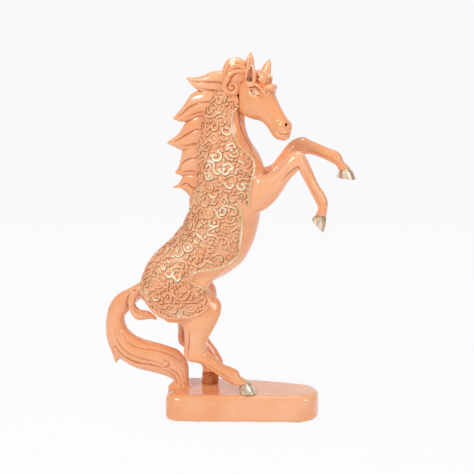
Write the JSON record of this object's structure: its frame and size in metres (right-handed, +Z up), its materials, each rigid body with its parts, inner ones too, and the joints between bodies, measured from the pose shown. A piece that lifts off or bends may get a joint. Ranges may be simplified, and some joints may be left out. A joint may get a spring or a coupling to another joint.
{
  "type": "horse figurine",
  "caption": "Rearing horse figurine in glossy peach resin with gilded hooves and scroll relief, standing on a rounded plinth with its tail and hind legs.",
  "frame": {"origin": "on the surface the figurine stands on, below the middle of its outer size", "axes": "+X the way the horse faces along the plinth, +Y the horse's left side, +Z up"},
  "size_m": [0.262, 0.0788, 0.3834],
  "materials": {
    "painted_resin": "glossy peach paint on cast resin, with a little brown in the recesses",
    "gilding": "soft gold paint with a satin metallic sheen",
    "steel_wire": "plain drawn wire",
    "felt": "dark felt"
  },
  "bodies": {
    "root": {"barrel_panel_left": "painted_resin", "barrel_panel_right": "painted_resin", "barrel_trim_left": "gilding", "barrel_trim_right": "gilding", "body": "painted_resin", "cheek_curl_left": "painted_resin", "cheek_curl_right": "painted_resin", "chest_panel_left": "painted_resin", "chest_panel_right": "painted_resin", "chest_trim_left": "gilding", "chest_trim_right": "gilding", "crest_tuft": "painted_resin", "ear_left": "painted_resin", "ear_right": "painted_resin", "eye_left": "gilding", "eye_right": "gilding", "felt_pad_front_left": "felt", "felt_pad_front_right": "felt", "felt_pad_rear_left": "felt", "felt_pad_rear_right": "felt", "foreleg_left": "painted_resin", "foreleg_right": "painted_resin", "forelock": "painted_resin", "head": "painted_resin", "hind_leg_left": "painted_resin", "hind_leg_right": "painted_resin", "hoof_fore_left": "gilding", "hoof_fore_right": "gilding", "hoof_hind_left": "gilding", "hoof_hind_right": "gilding", "mane": "painted_resin", "plinth": "painted_resin", "tail": "painted_resin", "thigh_rim_left": "painted_resin", "thigh_rim_right": "painted_resin", "wire_hind_left": "steel_wire", "wire_hind_right": "steel_wire", "wire_tail": "steel_wire"}
  },
  "joints": []
}
